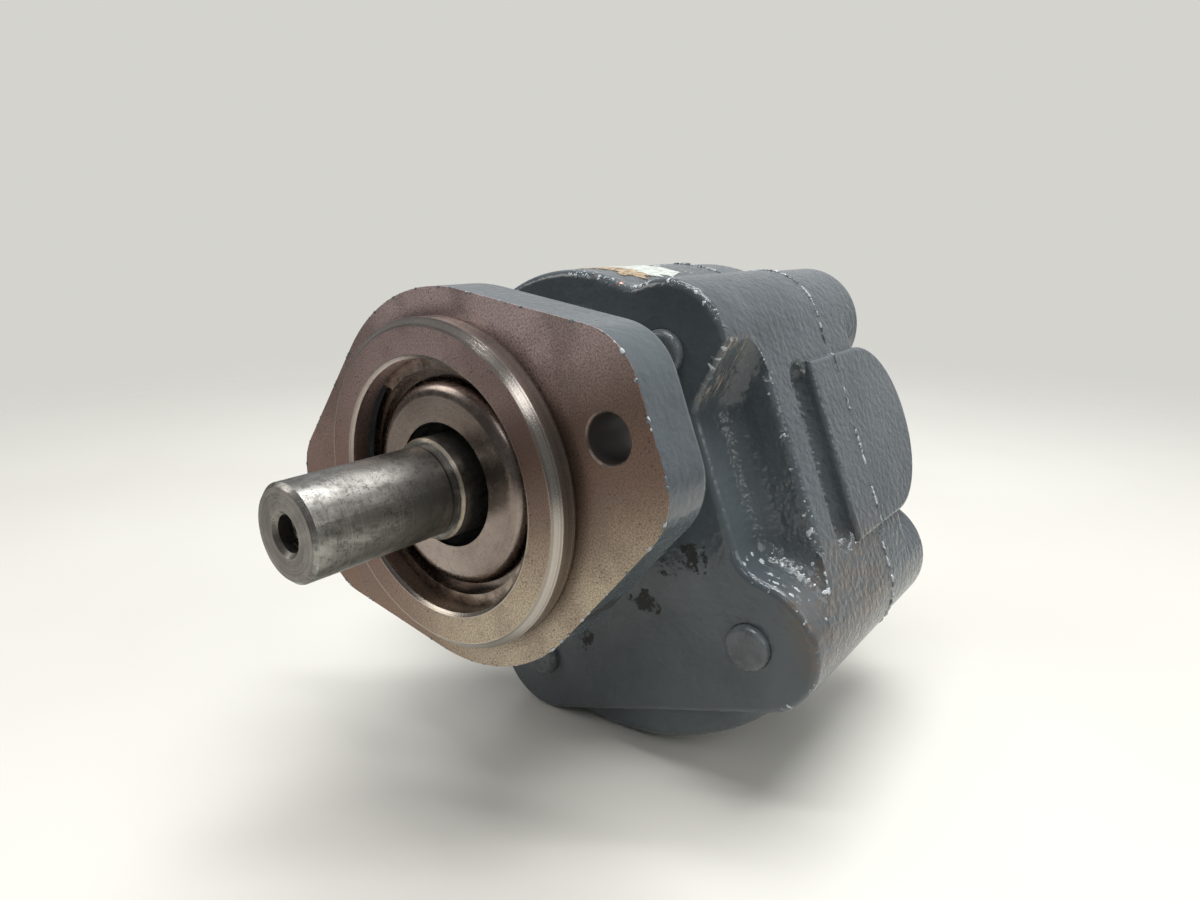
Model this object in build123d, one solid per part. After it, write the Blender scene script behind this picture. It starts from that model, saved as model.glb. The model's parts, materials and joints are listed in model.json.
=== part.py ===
from build123d import *
import os
from math import acos, atan2, degrees, hypot

# Fixed-displacement balanced vane pump with an SAE A two-bolt flange, in millimetres.
# Modelled in the pump's own axes: the shaft lies along Y and points to -Y, X runs along the
# flange's two bolt holes, and the origin is the pilot's centre on the flange's mounting face.
# The finished pieces are then rolled about the shaft, as the pump lies on a bench.

# ---- mounting flange and pilot (SAE A two-bolt)
PILOT_D = 82.55
PILOT_PROUD = 6.35
PILOT_CHAMFER = 1.8
RECESS_CHAMFER = 0.8
BOLT_SPACING = 106.4
MOUNT_HOLE_D = 11.1
MOUNT_HOLE_CHAMFER = 0.5
FLANGE_THICK = 16.0
FLANGE_ROUND_D = 96.0
FLANGE_LENGTH = 129.0
FLANGE_END_H = 50.8
FLANGE_CORNER_R = 15.8
FLANGE_EDGE_R = 2.5

# ---- casting of the housing behind the flange
NECK_D = 74.0
NECK_FLANGE_R = 4.0
NECK_BODY_R = 4.0
BODY_FRONT_Y = 47.5
JOINT_Y = 103.0
BOSS_R = 19.2
BOSS_X = 39.5
BOSS_TOP_Z = 16.5
BOSS_LOW_Z = -64.0
CROWN_R = 50.0
BELLY_R = 77.0
BELLY_Z = -17.5
BELLY_SET_BACK = 4.0
CROWN_BLEND_R = 7.5
BODY_EDGE_R = 2.2
BELLY_EDGE_R = 5.0

# ---- side relief between the two right-hand bosses
WAIST_X = 43.3
WAIST_BLEND_R = 10.0
UNDERCUT_REACH = 14.8
UNDERCUT_ANGLE = -48.0
UNDERCUT_BLEND_R = 8.0
SCALLOP_DEPTH = 16.0
SCALLOP_ROOT_R = 7.0
RIDGE_EDGE_R = 2.2
GROOVE_X = 53.7
GROOVE_Y = 75.5
GROOVE_WIDTH = 10.0
GROOVE_END_R = 4.8
GROOVE_ROOT_R = 4.0
GROOVE_MOUTH_R = 1.4
PAD_PROUD = 1.6
PAD_ROOT_X = 47.0
PAD_TOP_Z = 4.0
PAD_LOW_Z = -49.5
PAD_CORNER_R = 26.0
PAD_EDGE_R = 1.4

# ---- rear cover
COVER_PLATE_T = 22.0
COVER_BOSS_T = 33.0
COVER_HUB_T = 37.0
COVER_PAD_T = 43.0
COVER_PAD_ROOT_X = 22.0
COVER_EDGE_R = 4.0
COVER_INSET = 0.6
HUB_R = 27.0
PORT_HUB_R = 27.0

# ---- ports
INLET_R = 16.6
INLET_BOSS_R = 22.0
INLET_DEPTH = 20.0
INLET_PASSAGE_R = 11.0
INLET_Y = 81.0
INLET_Z = -38.0
OUTLET_R = 13.4
OUTLET_Z = -47.5
OUTLET_DEPTH = 16.0
OUTLET_PASSAGE_R = 8.0
PORT_EDGE = 1.0

# ---- cover bolts (1/2 inch), washers and dowels
BOLT_D = 12.7
BOLT_PROUD = 2.6
BOLT_CLEARANCE = 0.15
BOLT_END_R = 1.8
HEAD_ACROSS_FLATS = 19.05
HEAD_T = 8.0
WASHER_D = 27.0
SPOT_FACE_D = 21.0
SPOT_FACE_DEPTH = 9.0
WASHER_T = 2.4
DOWEL_D = 6.0
DOWEL_LENGTH = 14.0
DOWEL_X = 46.0
DOWEL_Z = -23.75

# ---- drive shaft (7/8 inch)
SHAFT_D = 22.225
SHAFT_REACH = 44.45
SHAFT_CHAMFER = 1.0
COLLAR_D = 25.4
COLLAR_Y = -7.0
COLLAR_CHAMFER = 0.7
CENTRE_HOLE_D = 8.4
CENTRE_HOLE_DEPTH = 22.0
COUNTERSINK_D = 10.4
SHOULDER_D = 29.0
SHOULDER_T = 3.0
WAIST_SHAFT_D = 24.0
SHAFT_HOLE_PLAY = 0.5
SPLINE_ROOT_D = 17.2
SPLINE_TIP_D = 19.6
SPLINE_TEETH = 14
SPLINE_TOOTH_W = 2.0
TAIL_D = 16.0
TAIL_GAP = 2.0

# ---- front ball bearing (1 x 2 1/2 x 3/4 inch)
BEARING_OD = 63.5
BEARING_WIDTH = 19.05
BEARING_Y = 12.0
BALL_D = 11.11
BALL_COUNT = 8
RACE_WALL = 5.6
CAGE_T = 3.0
CAGE_WIDTH = 14.0
BALL_PLAY = 0.05
CAGE_PLAY = 0.15

# ---- shaft seal and its snap ring
SNAP_RING_Y = -1.0
SNAP_RING_T = 2.0
SNAP_RING_REACH = 3.15
SNAP_GROOVE_DEPTH = 1.6
SNAP_RING_GAP_ANGLE = 141.0
SNAP_RING_GAP = 29.0
SEAL_FRONT_Y = -2.0
SEAL_DEPTH = 9.0
SEAL_HOLE_D = 31.6
SEAL_RIM = 5.15
SEAL_DOME_R = 4.4
SEAL_GROOVE_Y = 2.6
SEAL_SHEET = 1.2
LIP_Y = 5.2
LIP_END_Y = 7.6
GARTER_WIRE_D = 1.8
BEARING_CLIP_T = 1.6
BEARING_CLIP_OD = 31.0
BEARING_CLIP_DEPTH = 1.0

# ---- vane cartridge
CARTRIDGE_Y = 48.0
CARTRIDGE_D = 61.0
FRONT_PLATE_T = 8.0
CAM_WIDTH = 30.0
CAM_MAJOR_R = 23.4
CAM_MINOR_R = 20.4
ROTOR_R = 20.0
VANE_COUNT = 12
VANE_T = 1.8
VANE_HEIGHT = 7.0
VANE_RETRACT = 0.6
VANE_TIP_R = 0.6
VANE_ROOT_R = 1.4
PRESSURE_PLATE_T = 14.5
PLATE_PORT_R = 21.2
PLATE_PORT_W = 3.6
PLATE_PORT_ARC = 44.0
PLATE_PORT_ANGLE = 45.0
PLATE_BORE_PLAY = 0.6
CARTRIDGE_PIN_D = 4.0
CARTRIDGE_PIN_WALL = 2.5
CARTRIDGE_PIN_LENGTH = 44.0
SUCTION_WINDOW_R = 4.0
PLATE_SEAL_D = 2.4
DISC_SPRING_T = 1.2
DISC_SPRING_PLAY = 1.5
DISC_SPRING_REACH = 8.0
PRESSURE_CHAMBER_R = 25.0
PRESSURE_CHAMBER_T = 4.0
COVER_SEAL_D = 2.0
COVER_SEAL_WALL = 2.4
BUSHING_OD = 22.0
BUSHING_LENGTH = 16.0

# ---- fits, radial
RUNNING = 0.03
PIN_FIT = 0.02
SLOT_PLAY = 0.04
AXIAL_PLAY = 0.03

# ---- places that follow from the sizes above
SIDE_X = BOSS_X + BOSS_R
SNAP_RING_R = BEARING_OD / 2 - SNAP_RING_REACH
SEAL_DOME_OUT_R = BEARING_OD / 2 - SEAL_RIM
CARTRIDGE_PIN_R = CARTRIDGE_D / 2 - CARTRIDGE_PIN_WALL - CARTRIDGE_PIN_D / 2
DISC_SPRING_R = CARTRIDGE_D / 2 - DISC_SPRING_PLAY
COVER_SEAL_R = CARTRIDGE_D / 2 + COVER_SEAL_WALL
PAD_X = SIDE_X + PAD_PROUD
RACE_MID_R = (COLLAR_D + BEARING_OD) / 4
FRONT_PLATE_Y = CARTRIDGE_Y
CAM_Y = FRONT_PLATE_Y + FRONT_PLATE_T
PRESSURE_PLATE_Y = CAM_Y + CAM_WIDTH
PRESSURE_PLATE_END = PRESSURE_PLATE_Y + PRESSURE_PLATE_T
CHAMBER_END = JOINT_Y + PRESSURE_CHAMBER_T
BUSHING_END = CHAMBER_END + BUSHING_LENGTH
COVER_BACK_Y = JOINT_Y + COVER_HUB_T
PAD_BACK_Y = JOINT_Y + COVER_PAD_T
BOSS_BACK_Y = JOINT_Y + COVER_BOSS_T
CAM_MID_Y = CAM_Y + CAM_WIDTH / 2
PLATE_BACK_Y = JOINT_Y + COVER_PLATE_T
DOWEL_Y = JOINT_Y - DOWEL_LENGTH / 2
PIN_Y = CAM_MID_Y - CARTRIDGE_PIN_LENGTH / 2
PLATE_SEAL_Y = PRESSURE_PLATE_END - 2 * PLATE_SEAL_D
GARTER_Y = LIP_END_Y - GARTER_WIRE_D
SPLINE_Y = CAM_Y - TAIL_GAP
TAIL_Y = PRESSURE_PLATE_Y + TAIL_GAP
BEARING_END = BEARING_Y + BEARING_WIDTH
BOLT_CENTRES = [(x, z) for x in (-BOSS_X, BOSS_X) for z in (BOSS_LOW_Z, BOSS_TOP_Z)]


def lying_roll():
    """Roll about the shaft that brings the belly and the lower left boss onto one level."""
    across, up = -BOSS_X, BOSS_LOW_Z - BELLY_Z
    line = degrees(atan2(up, across)) % 360
    lean = degrees(acos((BELLY_R - BOSS_R) / hypot(across, up)))
    return line + lean - 270


LIE = Rot(0, lying_roll(), 0)


def prism(outline, y0, y1):
    """Extrude an outline, drawn across the shaft in X and Z, from y0 back to y1."""
    plane = Plane(origin=(0, y1, 0), x_dir=(1, 0, 0), z_dir=(0, -1, 0))
    return extrude(plane * outline, y1 - y0)


def turned(*points):
    """Revolve a closed outline of (radius, y) points about the shaft's axis."""
    return revolve(make_face(Polyline(*points, close=True)), Axis.Y)


def disc(radius, y0, y1, x=0.0, z=0.0):
    """A round bar along Y."""
    return prism(Pos(x, z) * Circle(radius), y0, y1)


def ring(outer, inner, y0, y1):
    """A plain ring about the shaft."""
    return prism(Circle(outer) - Circle(inner), y0, y1)


def torus(centre_r, wire_r, y):
    """A ring of round section about the shaft."""
    return revolve(Pos(centre_r, y) * Circle(wire_r), Axis.Y)


def cross_bar(radius, start, end):
    """A round bar between two points, for drilled passages."""
    way = Vector(*end) - Vector(*start)
    return extrude(Plane(origin=start, z_dir=way) * Circle(radius), way.length)


def edges_at(shape, y):
    """The edges that lie flat in the plane across the shaft at y."""
    return shape.edges().filter_by(
        lambda e: abs(e.bounding_box().min.Y - y) < 0.01 and abs(e.bounding_box().max.Y - y) < 0.01
    )


# ---- outlines of the casting, seen along the shaft
def crown():
    cap = Pos(0, BOSS_TOP_Z + CROWN_R) * Rectangle(2 * CROWN_R, 2 * CROWN_R)
    return Circle(CROWN_R) & cap


def bosses():
    outline = Sketch()
    for x, z in BOLT_CENTRES:
        outline += Pos(x, z) * Circle(BOSS_R)
    return outline


def section(half_width=SIDE_X):
    """The casting's section; a smaller half width draws in the waist between the bosses."""
    height = BOSS_TOP_Z - BOSS_LOW_Z
    core = Rectangle(2 * half_width, height) + Rectangle(2 * BOSS_X, height + 2 * BOSS_R)
    outline = bosses() + Pos(0, (BOSS_TOP_Z + BOSS_LOW_Z) / 2) * core + crown()
    lid_z = BOSS_TOP_Z + BOSS_R
    dips = outline.vertices().filter_by(lambda v: abs(v.Y - lid_z) < 0.01 and abs(v.X) < BOSS_X - 0.01)
    outline = fillet(dips, CROWN_BLEND_R)
    if half_width < SIDE_X:
        corners = outline.vertices().filter_by(lambda v: abs(abs(v.X) - half_width) < 0.01)
        outline = fillet(corners, WAIST_BLEND_R)
    return outline


def belly(y0, y1, edge_r, edge_at, inset=0.0):
    """The bulged bottom from boss to boss, with its outer edge at edge_at rounded."""
    below = Pos(0, BOSS_LOW_Z - BELLY_R) * Rectangle(2 * BOSS_X, 2 * BELLY_R)
    bar = prism((Pos(0, BELLY_Z) * Circle(BELLY_R - inset)) & below, y0, y1)
    return fillet(edges_at(bar, edge_at).filter_by(GeomType.CIRCLE), edge_r)


def scallop():
    """The relief in the right-hand flank, ahead of the ridge, undercutting the upper boss."""
    height = BOSS_TOP_Z - BOSS_LOW_Z
    side = Pos(WAIST_X + SIDE_X, BOSS_LOW_Z + height / 2) * Rectangle(2 * SIDE_X, height)
    window = side - section(WAIST_X)
    wedge = Pos(BOSS_X, BOSS_TOP_Z) * Rot(0, 0, UNDERCUT_ANGLE) * Pos(UNDERCUT_REACH + BOSS_R, 0)
    window += wedge * Rectangle(2 * BOSS_R, 2 * BOSS_R) & side
    corners = window.vertices().filter_by(
        lambda v: v.X < SIDE_X - 0.5 and v.Y > BOSS_TOP_Z - BOSS_R and v.Y < BOSS_TOP_Z - 0.5
    )
    window = fillet(corners, UNDERCUT_BLEND_R)
    back = BODY_FRONT_Y + SCALLOP_DEPTH
    tool = prism(window, BODY_FRONT_Y - 1, back)
    floor = edges_at(tool, back).filter_by(lambda e: e.bounding_box().max.X < SIDE_X + BOSS_R)
    tool = fillet(floor, SCALLOP_ROOT_R)
    ridge = extrude(tool.faces().sort_by(Axis.Y)[-1], RIDGE_EDGE_R)
    ridge &= Pos(SIDE_X + BOSS_R - RIDGE_EDGE_R, back) * Box(2 * BOSS_R, 2 * BOSS_R, 2 * height)
    ridge -= cross_bar(
        RIDGE_EDGE_R,
        (SIDE_X - RIDGE_EDGE_R, back + RIDGE_EDGE_R, BOSS_LOW_Z - height),
        (SIDE_X - RIDGE_EDGE_R, back + RIDGE_EDGE_R, BOSS_TOP_Z + height),
    )
    return tool + ridge


# ---- the two castings
def flange_outline():
    """Round centre and two blunt ends, joined by tangent flanks."""
    corner_x = FLANGE_LENGTH / 2 - FLANGE_CORNER_R
    corner_z = FLANGE_END_H / 2 - FLANGE_CORNER_R
    rounds = Sketch() + Circle(FLANGE_ROUND_D / 2)
    for x in (-corner_x, corner_x):
        for z in (-corner_z, corner_z):
            rounds += Pos(x, z) * Circle(FLANGE_CORNER_R)
    return make_hull(rounds.edges())


def make_flange():
    flange = prism(flange_outline(), 0, FLANGE_THICK)
    flange = fillet(edges_at(flange, FLANGE_THICK), FLANGE_EDGE_R)
    pilot = disc(PILOT_D / 2, -PILOT_PROUD, 0)
    pilot = chamfer(edges_at(pilot, -PILOT_PROUD), PILOT_CHAMFER)
    return flange + pilot


def make_neck():
    """Round neck with a flare against the body's front face."""
    neck_r = NECK_D / 2
    neck = disc(neck_r, FLANGE_THICK / 2, BODY_FRONT_Y + 1)
    flare_y = BODY_FRONT_Y - NECK_BODY_R
    square = Pos(neck_r + NECK_BODY_R / 2, flare_y + NECK_BODY_R / 2)
    cove = square * Rectangle(NECK_BODY_R, NECK_BODY_R)
    cove -= Pos(neck_r + NECK_BODY_R, flare_y) * Circle(NECK_BODY_R)
    inset = offset(section(WAIST_X), -BODY_EDGE_R)
    flare = revolve(cove, Axis.Y) & prism(inset, flare_y - 1, BODY_FRONT_Y)
    foot_y = FLANGE_THICK + NECK_FLANGE_R
    foot = Pos(neck_r + NECK_FLANGE_R / 2, foot_y - NECK_FLANGE_R / 2)
    foot = foot * Rectangle(NECK_FLANGE_R, NECK_FLANGE_R)
    foot -= Pos(neck_r + NECK_FLANGE_R, foot_y) * Circle(NECK_FLANGE_R)
    return neck + flare + revolve(foot, Axis.Y)


def flank_plane(x):
    """A plane across X whose local axes are Y and Z."""
    return Plane(origin=(x, 0, 0), x_dir=(0, 1, 0), z_dir=(1, 0, 0))


def pad_outline(y0, y1):
    """The raised strip's outline on the right-hand flank, in Y and Z."""
    middle = Pos((y0 + y1) / 2, (PAD_TOP_Z + PAD_LOW_Z) / 2)
    return middle * Rectangle(y1 - y0, PAD_TOP_Z - PAD_LOW_Z)


def side_pad(outline, root_x):
    """The raised strip, with its outer edge rounded except along the joint."""
    pad = extrude(flank_plane(root_x) * outline, PAD_X - root_x)
    rim = pad.faces().sort_by(Axis.X)[-1].edges()
    return fillet(rim.filter_by(lambda e: abs(e.center().Y - JOINT_Y) > 0.01), PAD_EDGE_R)


def side_groove(body):
    """Cut the round-bottomed channel between the ridge and the strip."""
    end = GROOVE_Y + GROOVE_WIDTH
    outline = pad_outline(GROOVE_Y, end)
    outline = fillet(outline.vertices(), GROOVE_END_R)
    tool = extrude(flank_plane(GROOVE_X) * outline, SIDE_X)
    tool = fillet(tool.faces().sort_by(Axis.X)[0].edges(), GROOVE_ROOT_R)
    body -= tool
    mouth = body.edges().filter_by(
        lambda e: abs(e.center().X - SIDE_X) < 0.01 and GROOVE_Y - 0.01 < e.center().Y < end + 0.01
        and PAD_LOW_Z - 0.01 < e.center().Z < PAD_TOP_Z + 0.01
    )
    return fillet(mouth, GROOVE_MOUTH_R)


def make_body():
    """The housing's body from its front face to the joint with the cover."""
    body = prism(section(), BODY_FRONT_Y, JOINT_Y)
    belly_y = BODY_FRONT_Y + BELLY_SET_BACK
    body += belly(belly_y, JOINT_Y, BELLY_EDGE_R, belly_y)
    body -= scallop()
    body = fillet(edges_at(body, BODY_FRONT_Y), BODY_EDGE_R)
    body = side_groove(body)
    body += side_pad(pad_outline(GROOVE_Y + GROOVE_WIDTH, JOINT_Y), PAD_ROOT_X)
    port = cross_bar(INLET_BOSS_R, (-WAIST_X, INLET_Y, INLET_Z), (-PAD_X, INLET_Y, INLET_Z))
    port = chamfer(port.edges().sort_by(Axis.X)[0], PORT_EDGE)
    return body + port


def spot_faces():
    """The clearings in the neck round the ends of the two upper bolts."""
    floor = BODY_FRONT_Y - SPOT_FACE_DEPTH
    return [disc(SPOT_FACE_D / 2, floor, BODY_FRONT_Y, x, BOSS_TOP_Z) for x in (-BOSS_X, BOSS_X)]


def drill_bolts(casting, y0, y1):
    for x, z in BOLT_CENTRES:
        casting -= disc(BOLT_D / 2 + BOLT_CLEARANCE, y0, y1, x, z)
    for x in (-DOWEL_X, DOWEL_X):
        casting -= disc(DOWEL_D / 2 + PIN_FIT, DOWEL_Y, DOWEL_Y + DOWEL_LENGTH, x, DOWEL_Z)
    return casting


def make_front_housing():
    neck = make_neck()
    for clearing in spot_faces():
        neck -= clearing
    housing = make_flange() + neck + make_body()
    bore_r, lip_r = BEARING_OD / 2, BEARING_OD / 2 + RECESS_CHAMFER
    housing -= disc(bore_r, -PILOT_PROUD - 1, BEARING_END)
    housing -= turned((0, -PILOT_PROUD), (lip_r, -PILOT_PROUD), (bore_r, RECESS_CHAMFER - PILOT_PROUD), (0, 0))
    housing -= disc(BEARING_OD / 2 + SNAP_GROOVE_DEPTH, SNAP_RING_Y, SNAP_RING_Y + SNAP_RING_T)
    housing -= disc(SHOULDER_D / 2 + SHAFT_HOLE_PLAY, BEARING_END - 1, CARTRIDGE_Y + 1)
    housing -= disc(CARTRIDGE_D / 2, CARTRIDGE_Y, JOINT_Y + 1)
    for x in (-BOLT_SPACING / 2, BOLT_SPACING / 2):
        housing -= disc(MOUNT_HOLE_D / 2, -1, FLANGE_THICK + 1, x)
        mouth = Cone(
            MOUNT_HOLE_D / 2, MOUNT_HOLE_D / 2 + MOUNT_HOLE_CHAMFER, MOUNT_HOLE_CHAMFER,
            rotation=(90, 0, 0),
        )
        housing -= Pos(x, MOUNT_HOLE_CHAMFER / 2) * mouth
    housing = drill_bolts(housing, BODY_FRONT_Y - 1, JOINT_Y + 1)
    mouth = (-PAD_X - 1, INLET_Y, INLET_Z)
    seat = (INLET_DEPTH - PAD_X, INLET_Y, INLET_Z)
    housing -= cross_bar(INLET_R, mouth, seat)
    housing -= cross_bar(INLET_PASSAGE_R, seat, (0, INLET_Y, INLET_Z))
    return housing


def make_rear_cover():
    """The cover, cast a little smaller than the housing so that a step shows along the joint."""
    plate = prism(offset(section(), -COVER_INSET), JOINT_Y, PLATE_BACK_Y)
    plate = fillet(edges_at(plate, PLATE_BACK_Y), COVER_EDGE_R)
    cover = plate + belly(JOINT_Y, PLATE_BACK_Y, COVER_EDGE_R, PLATE_BACK_Y, COVER_INSET)
    for x, z in BOLT_CENTRES:
        boss = disc(BOSS_R - COVER_INSET, JOINT_Y, BOSS_BACK_Y, x, z)
        cover += fillet(edges_at(boss, BOSS_BACK_Y), BODY_EDGE_R)
    for radius, z in ((HUB_R, 0), (PORT_HUB_R, OUTLET_Z)):
        hub = disc(radius, JOINT_Y, COVER_BACK_Y, z=z)
        cover += fillet(edges_at(hub, COVER_BACK_Y), COVER_EDGE_R)
    outline = pad_outline(JOINT_Y, PAD_BACK_Y)
    outline = fillet(outline.vertices().group_by(Axis.X)[-1], PAD_CORNER_R)
    cover += side_pad(outline, COVER_PAD_ROOT_X)
    cover = drill_bolts(cover, JOINT_Y - 1, BOSS_BACK_Y + 1)
    cover -= disc(PRESSURE_CHAMBER_R, JOINT_Y - 1, CHAMBER_END)
    cover -= disc(BUSHING_OD / 2, CHAMBER_END - 1, BUSHING_END)
    gland_r = COVER_SEAL_D / 2 + SLOT_PLAY
    cover -= ring(COVER_SEAL_R + gland_r, COVER_SEAL_R - gland_r, JOINT_Y - 1, JOINT_Y + 2 * gland_r)
    outlet_seat = COVER_BACK_Y - OUTLET_DEPTH
    gallery_y = CHAMBER_END + OUTLET_PASSAGE_R
    cover -= disc(OUTLET_R, outlet_seat, COVER_BACK_Y + 1, z=OUTLET_Z)
    cover -= disc(OUTLET_PASSAGE_R, gallery_y, outlet_seat + 1, z=OUTLET_Z)
    chamber_z = OUTLET_PASSAGE_R - PRESSURE_CHAMBER_R
    cover -= cross_bar(OUTLET_PASSAGE_R, (0, gallery_y, OUTLET_Z), (0, gallery_y, chamber_z))
    cover -= disc(OUTLET_PASSAGE_R, JOINT_Y, gallery_y, z=chamber_z)
    return cover


# ---- shaft, bearing and seal
def spline(root_r, tip_r, tooth_w):
    """Outline of straight-sided splines about the shaft."""
    teeth = Sketch()
    for i in range(SPLINE_TEETH):
        teeth += Rot(0, 0, 360 * i / SPLINE_TEETH) * Pos(tip_r / 2) * Rectangle(tip_r + 1, tooth_w)
    return Circle(root_r) + teeth & Circle(tip_r)


def make_drive_shaft():
    end = -SHAFT_REACH
    stub, collar, waist = SHAFT_D / 2, COLLAR_D / 2, WAIST_SHAFT_D / 2
    shoulder_end = BEARING_END + SHOULDER_T
    shaft = turned(
        (0, end), (stub - SHAFT_CHAMFER, end), (stub, end + SHAFT_CHAMFER),
        (stub, COLLAR_Y), (collar - COLLAR_CHAMFER, COLLAR_Y), (collar, COLLAR_Y + COLLAR_CHAMFER),
        (collar, BEARING_END), (SHOULDER_D / 2, BEARING_END), (SHOULDER_D / 2, shoulder_end),
        (waist, shoulder_end), (waist, SPLINE_Y), (TAIL_D / 2, SPLINE_Y),
        (TAIL_D / 2, BUSHING_END - TAIL_GAP), (0, BUSHING_END - TAIL_GAP),
    )
    teeth = spline(SPLINE_ROOT_D / 2, SPLINE_TIP_D / 2, SPLINE_TOOTH_W)
    shaft += prism(teeth, SPLINE_Y, TAIL_Y)
    shaft -= disc(CENTRE_HOLE_D / 2, end - 1, end + CENTRE_HOLE_DEPTH)
    sink = (COUNTERSINK_D - CENTRE_HOLE_D) / 2
    shaft -= turned((0, end), (COUNTERSINK_D / 2, end), (CENTRE_HOLE_D / 2, end + sink), (0, end + sink))
    clip_y = BEARING_Y - BEARING_CLIP_T
    return shaft - ring(collar + 1, collar - BEARING_CLIP_DEPTH, clip_y, BEARING_Y)


def open_ring(outer, inner, y0, y1, gap, angle):
    """A snap ring with its ends a gap apart, at an angle from +X towards +Z."""
    slot = Pos(outer, (y0 + y1) / 2) * Box(2 * outer, 2 * (y1 - y0), gap)
    return ring(outer, inner, y0, y1) - Rot(0, -angle, 0) * slot


def make_bearing_clip():
    inner = COLLAR_D / 2 - BEARING_CLIP_DEPTH
    return open_ring(BEARING_CLIP_OD / 2, inner, BEARING_Y - BEARING_CLIP_T, BEARING_Y, inner, 90)


def make_seal_snap_ring():
    outer = BEARING_OD / 2 + SNAP_GROOVE_DEPTH
    end = SNAP_RING_Y + SNAP_RING_T
    return open_ring(outer, SNAP_RING_R, SNAP_RING_Y, end, SNAP_RING_GAP, SNAP_RING_GAP_ANGLE)


def ball_track():
    return torus(RACE_MID_R, BALL_D / 2 + BALL_PLAY, BEARING_Y + BEARING_WIDTH / 2)


def make_balls():
    centre = Pos(RACE_MID_R, BEARING_Y + BEARING_WIDTH / 2)
    return [Rot(0, 360 * i / BALL_COUNT, 0) * centre * Sphere(BALL_D / 2) for i in range(BALL_COUNT)]


def make_bearing_cage():
    middle = BEARING_Y + BEARING_WIDTH / 2
    half = CAGE_WIDTH / 2
    cage = ring(RACE_MID_R + CAGE_T / 2, RACE_MID_R - CAGE_T / 2, middle - half, middle + half)
    pocket = cross_bar(BALL_D / 2 + CAGE_PLAY, (0, middle, 0), (BEARING_OD / 2, middle, 0))
    for i in range(BALL_COUNT):
        cage -= Rot(0, 360 * i / BALL_COUNT, 0) * pocket
    return cage


def make_seal_case():
    back = SNAP_RING_Y + SNAP_RING_T
    outer, rim = BEARING_OD / 2, SNAP_RING_R
    dome, hole = SEAL_DOME_OUT_R, SEAL_HOLE_D / 2
    sheet = SEAL_SHEET
    shell = make_face(Polyline(
        (outer, back), (rim, back), (rim, SEAL_GROOVE_Y), (dome, SEAL_GROOVE_Y),
        (dome, SEAL_FRONT_Y), (hole, SEAL_FRONT_Y), (hole, SEAL_FRONT_Y + sheet),
        (dome - sheet, SEAL_FRONT_Y + sheet), (dome - sheet, SEAL_GROOVE_Y + sheet),
        (outer - sheet, SEAL_GROOVE_Y + sheet), (outer - sheet, back + SEAL_DEPTH),
        (outer, back + SEAL_DEPTH), close=True,
    ))
    crest = shell.vertices().filter_by(lambda v: abs(v.X - dome) < 0.01 and v.Y < 0)
    shell = fillet(crest, SEAL_DOME_R)
    under = shell.vertices().filter_by(lambda v: abs(v.X - dome + sheet) < 0.01 and v.Y < 0)
    return revolve(fillet(under, SEAL_DOME_R - sheet), Axis.Y)


def make_seal_lip():
    top = SEAL_FRONT_Y + SEAL_SHEET
    hole = SEAL_HOLE_D / 2
    lip_r = COLLAR_D / 2 + RUNNING
    root = SEAL_DOME_OUT_R - SEAL_DOME_R - 1
    back = hole + GARTER_WIRE_D
    lip = turned(
        (root, top), (hole, top), (hole - 1, LIP_Y / 2), (lip_r, LIP_Y),
        (hole - GARTER_WIRE_D, LIP_END_Y), (back, LIP_END_Y), (back, LIP_Y / 2 + 1), (root, top + 2),
    )
    return lip - torus(back, GARTER_WIRE_D / 2 + PIN_FIT, GARTER_Y)


# ---- vane cartridge
def pins(radius, y0, y1):
    """The two bars that line the cartridge up, above and below the shaft."""
    return [disc(radius, y0, y1, z=z) for z in (-CARTRIDGE_PIN_R, CARTRIDGE_PIN_R)]


def kidneys(first_angle):
    """Two opposite curved ports in a plate."""
    outline = Sketch()
    for turn in (0, 180):
        start = first_angle + turn - PLATE_PORT_ARC / 2
        middle = CenterArc((0, 0), PLATE_PORT_R, start, PLATE_PORT_ARC)
        outline += SlotArc(middle, PLATE_PORT_W)
    return outline


def make_plate(y0, y1, bore_r, port_angle):
    plate = prism(Circle(CARTRIDGE_D / 2 - PIN_FIT) - Circle(bore_r) - kidneys(port_angle), y0, y1)
    for pin in pins(CARTRIDGE_PIN_D / 2 + PIN_FIT, PIN_Y, PIN_Y + CARTRIDGE_PIN_LENGTH):
        plate -= pin
    return plate


def make_pressure_plate():
    bore_r = SPLINE_TIP_D / 2 + PLATE_BORE_PLAY
    plate = make_plate(PRESSURE_PLATE_Y, PRESSURE_PLATE_END, bore_r, -PLATE_PORT_ANGLE)
    inner = CARTRIDGE_D / 2 - PLATE_SEAL_D
    half = PLATE_SEAL_D / 2 + SLOT_PLAY
    return plate - ring(CARTRIDGE_D / 2 + 1, inner - PIN_FIT, PLATE_SEAL_Y - half, PLATE_SEAL_Y + half)


def make_cam_ring():
    cam = prism(
        Circle(CARTRIDGE_D / 2 - PIN_FIT) - Ellipse(CAM_MAJOR_R, CAM_MINOR_R), CAM_Y, PRESSURE_PLATE_Y
    )
    for pin in pins(CARTRIDGE_PIN_D / 2 + PIN_FIT, PIN_Y, PIN_Y + CARTRIDGE_PIN_LENGTH):
        cam -= pin
    for turn in (0, 180):
        window = cross_bar(SUCTION_WINDOW_R, (0, CAM_MID_Y, 0), (CARTRIDGE_D, CAM_MID_Y, 0))
        cam -= Rot(0, turn - PLATE_PORT_ANGLE, 0) * window
    return cam


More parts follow.
